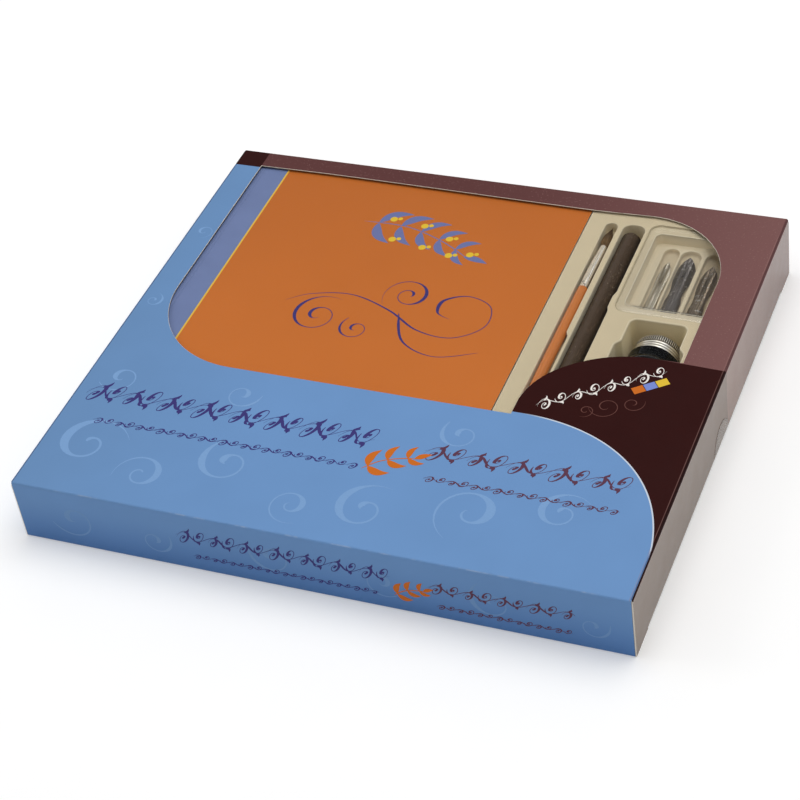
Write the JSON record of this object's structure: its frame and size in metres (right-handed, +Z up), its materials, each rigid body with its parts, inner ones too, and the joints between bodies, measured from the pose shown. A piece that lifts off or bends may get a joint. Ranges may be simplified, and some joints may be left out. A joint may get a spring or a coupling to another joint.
{
  "type": "calligraphy set box",
  "caption": "Flat windowed folding carton holding a moulded tray with a book, a brush, a pen holder, nibs and an ink bottle; its ends hinge open.",
  "frame": {"origin": "centre of the carton's underside", "axes": "+X along the carton's length towards its right end, +Y towards its back edge, +Z up through the window"},
  "size_m": [0.3201, 0.287, 0.037],
  "materials": {
    "printed_board": "printed, gloss varnish",
    "maroon_board": "printed, gloss varnish",
    "inner_board": "uncoated inside of the board",
    "clear_film": "clear film",
    "tray_plastic": "flocked matte sheet",
    "book_cover": "coated card",
    "book_paper": "uncoated paper",
    "brush_lacquer": "lacquered",
    "ferrule_metal": "polished",
    "brush_hair": "hair",
    "dark_wood": "stained and oiled",
    "socket_steel": "satin",
    "nib_steel": "blued",
    "bottle_glass": "clear glass",
    "ink": "liquid",
    "cap_metal": "turned",
    "liner": "smooth"
  },
  "bodies": {
    "carton": {"carton_top_panel": "printed_board", "carton_front_panel": "printed_board", "carton_bottom_panel": "printed_board", "carton_back_panel": "maroon_board", "carton_glue_flap": "inner_board", "right_front_dust_flap": "maroon_board", "right_back_dust_flap": "maroon_board", "left_front_dust_flap": "printed_board", "left_back_dust_flap": "printed_board", "window_film": "clear_film", "moulded_tray": "tray_plastic", "nib_cover": "clear_film", "book_cover": "book_cover", "book_pages": "book_paper", "brush_handle": "brush_lacquer", "brush_ferrule": "ferrule_metal", "brush_bristles": "brush_hair", "pen_holder": "dark_wood", "pen_nib_socket": "socket_steel", "left_nib": "nib_steel", "middle_nib": "nib_steel", "right_nib": "nib_steel", "ink_bottle": "bottle_glass", "ink_fill": "ink"},
    "right_end_panel": {"right_end_panel": "maroon_board", "round_seal": "clear_film"},
    "right_tuck_flap": {"right_tuck_flap": "maroon_board"},
    "left_end_panel": {"left_end_panel": "printed_board"},
    "left_tuck_flap": {"left_tuck_flap": "printed_board"},
    "cap_lift": {"ink_cap_liner": "liner"},
    "cap": {"ink_bottle_cap": "cap_metal"}
  },
  "joints": [
    {"name": "right_end_panel_hinge", "type": "hinge", "parent": "carton", "child": "right_end_panel", "pos_m": [0.1591, 0, 0.0361], "axis": [0, -1, 0], "range_deg": [0, 110]},
    {"name": "right_tuck_flap_crease", "type": "hinge", "parent": "right_end_panel", "child": "right_tuck_flap", "pos_m": [0.1595, 0, 0.0013], "axis": [0, 1, 0], "range_deg": [0, 34]},
    {"name": "left_end_panel_hinge", "type": "hinge", "parent": "carton", "child": "left_end_panel", "pos_m": [-0.1591, 0, 0.0361], "axis": [0, 1, 0], "range_deg": [0, 110]},
    {"name": "left_tuck_flap_crease", "type": "hinge", "parent": "left_end_panel", "child": "left_tuck_flap", "pos_m": [-0.1595, 0, 0.0013], "axis": [0, -1, 0], "range_deg": [0, 34]},
    {"name": "ink_cap_rise", "type": "slide", "parent": "carton", "child": "cap_lift", "axis": [0, 1, 0], "range_m": [0, 0.0025]},
    {"name": "ink_cap_turn", "type": "hinge", "parent": "cap_lift", "child": "cap", "pos_m": [0.1171, 0.034, 0.0177], "axis": [0, 1, 0], "range_deg": [0, 360]}
  ],
  "couplings": [
    {"joint": "right_tuck_flap_crease", "follows": "right_end_panel_hinge", "ratio": 0.3},
    {"joint": "left_tuck_flap_crease", "follows": "left_end_panel_hinge", "ratio": 0.3},
    {"joint": "ink_cap_rise", "follows": "ink_cap_turn", "m_per_rad": 0.00038197}
  ]
}
